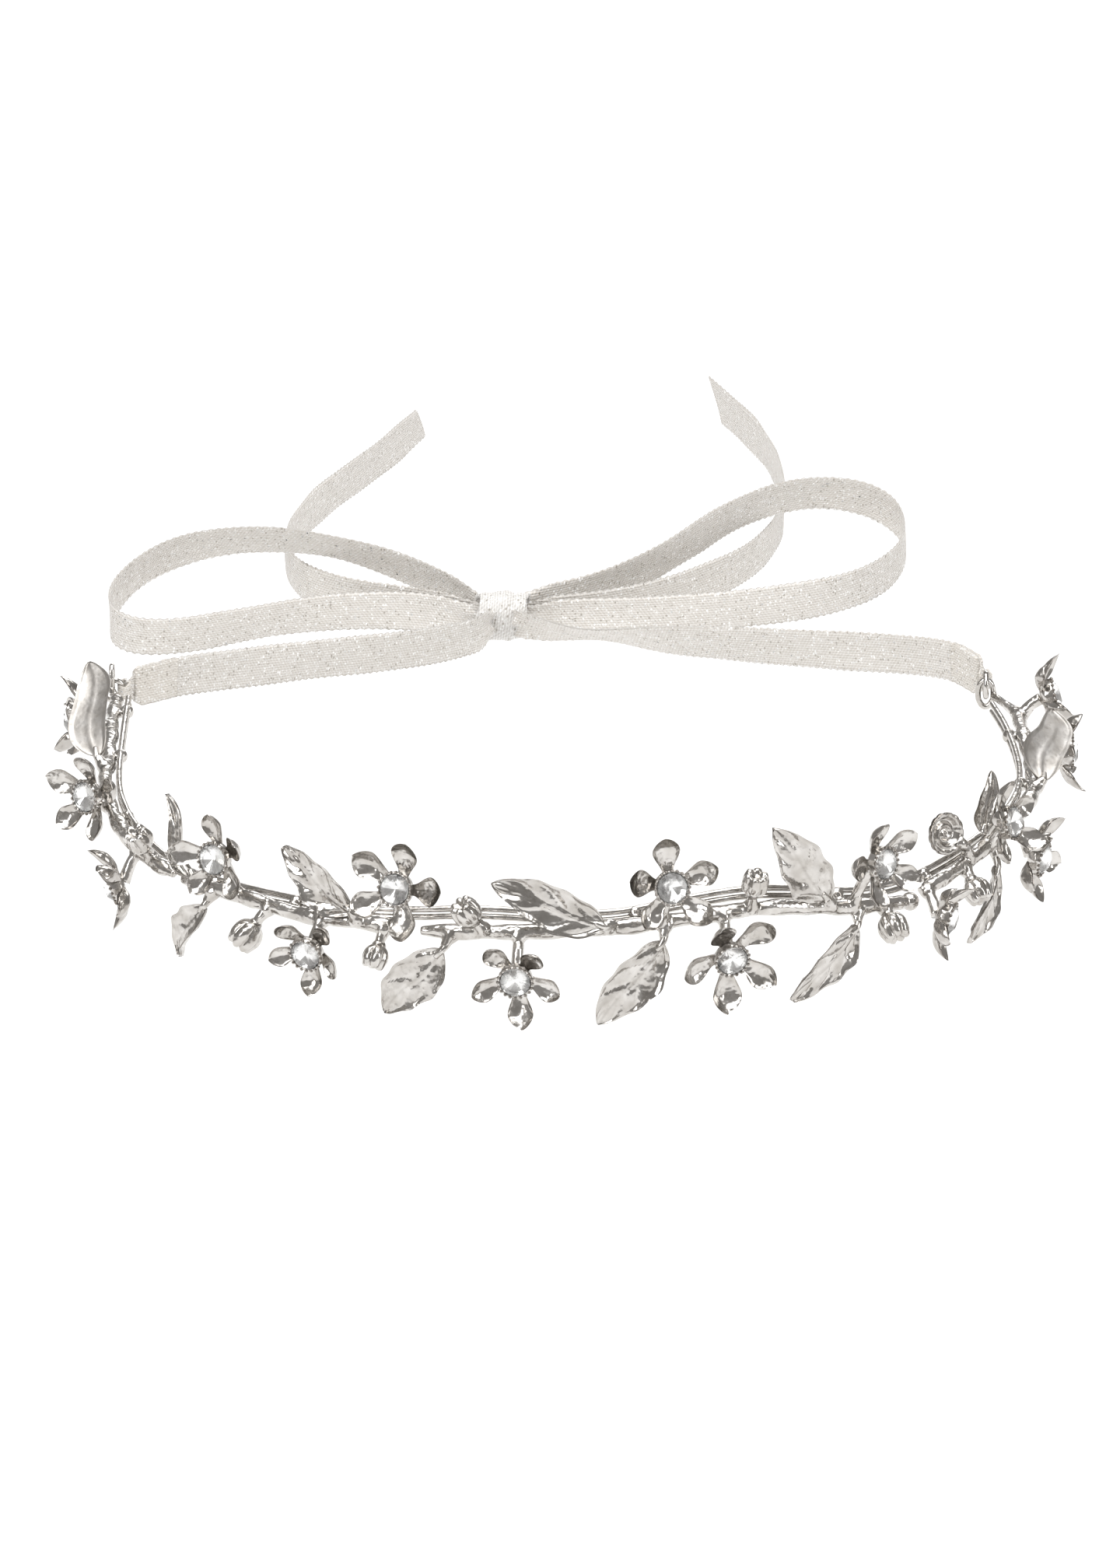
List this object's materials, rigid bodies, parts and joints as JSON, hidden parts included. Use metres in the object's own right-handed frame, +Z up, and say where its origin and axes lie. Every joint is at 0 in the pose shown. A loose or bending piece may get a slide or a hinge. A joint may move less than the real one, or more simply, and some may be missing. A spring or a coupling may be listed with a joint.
{
  "type": "flower crown",
  "caption": "Silver-plated vine flower crown for the head: crystal-set flowers, leaves and buds soldered along a wire arc, tied behind with a glitter ribbon bow.",
  "frame": {"origin": "bottom centre of the metal crown, on the surface that its lowest leaf and petal tips stand on", "axes": "+X towards the wearer's left end of the crown, +Y from the front of the crown back to the ribbon tie, +Z up"},
  "size_m": [0.1618, 0.3028, 0.0303],
  "materials": {
    "silver": "polished silver plate over a cast alloy",
    "crystal": "clear faceted stones, foiled behind",
    "ribbon": "ivory woven ribbon with fine glitter threads and picot edges"
  },
  "bodies": {
    "crown": {"base_wire_upper": "silver", "base_wire_lower": "silver", "left_side_stem": "silver", "left_front_stem": "silver", "centre_stem": "silver", "right_side_stem": "silver", "flower_01": "silver", "flower_02": "silver", "flower_03": "silver", "flower_04": "silver", "flower_05": "silver", "flower_06": "silver", "flower_07": "silver", "flower_08": "silver", "flower_09": "silver", "flower_10": "silver", "flower_11": "silver", "flower_12": "silver", "flower_13": "silver", "flower_14": "silver", "flower_15": "silver", "left_side_crystals": "crystal", "left_front_crystals": "crystal", "centre_crystals": "crystal", "right_side_crystals": "crystal", "leaf_01": "silver", "leaf_02": "silver", "leaf_03": "silver", "leaf_04": "silver", "leaf_05": "silver", "leaf_06": "silver", "leaf_07": "silver", "leaf_08": "silver", "leaf_09": "silver", "leaf_10": "silver", "leaf_11": "silver", "leaf_12": "silver", "leaf_13": "silver", "bud_01": "silver", "bud_02": "silver", "bud_03": "silver", "bud_04": "silver", "bud_05": "silver", "bud_06": "silver", "bud_07": "silver"},
    "left_ring": {"left_jump_ring": "silver"},
    "right_ring": {"right_jump_ring": "silver"},
    "ribbon_tie": {"left_ribbon_band": "ribbon", "left_bow_loop": "ribbon", "left_ribbon_tail": "ribbon", "left_ribbon_hem": "ribbon", "right_ribbon_band": "ribbon", "right_bow_loop": "ribbon", "right_ribbon_tail": "ribbon", "right_ribbon_hem": "ribbon", "bow_knot": "ribbon"}
  },
  "joints": [
    {"name": "left_ring_swing", "type": "hinge", "parent": "crown", "child": "left_ring", "pos_m": [-0.0729, 0.06025, 0.0146], "axis": [1, 0, 0], "range_deg": [-8, 95]},
    {"name": "right_ring_swing", "type": "hinge", "parent": "crown", "child": "right_ring", "pos_m": [0.0676, 0.06025, 0.0146], "axis": [1, 0, 0], "range_deg": [-8, 95]},
    {"name": "ribbon_pivot", "type": "hinge", "parent": "left_ring", "child": "ribbon_tie", "pos_m": [-0.07095, 0.06075, 0.01272], "axis": [0.9999, 0.0122, 0.007], "range_deg": [-10, 15]}
  ],
  "couplings": [
    {"joint": "right_ring_swing", "follows": "left_ring_swing", "ratio": 1}
  ]
}
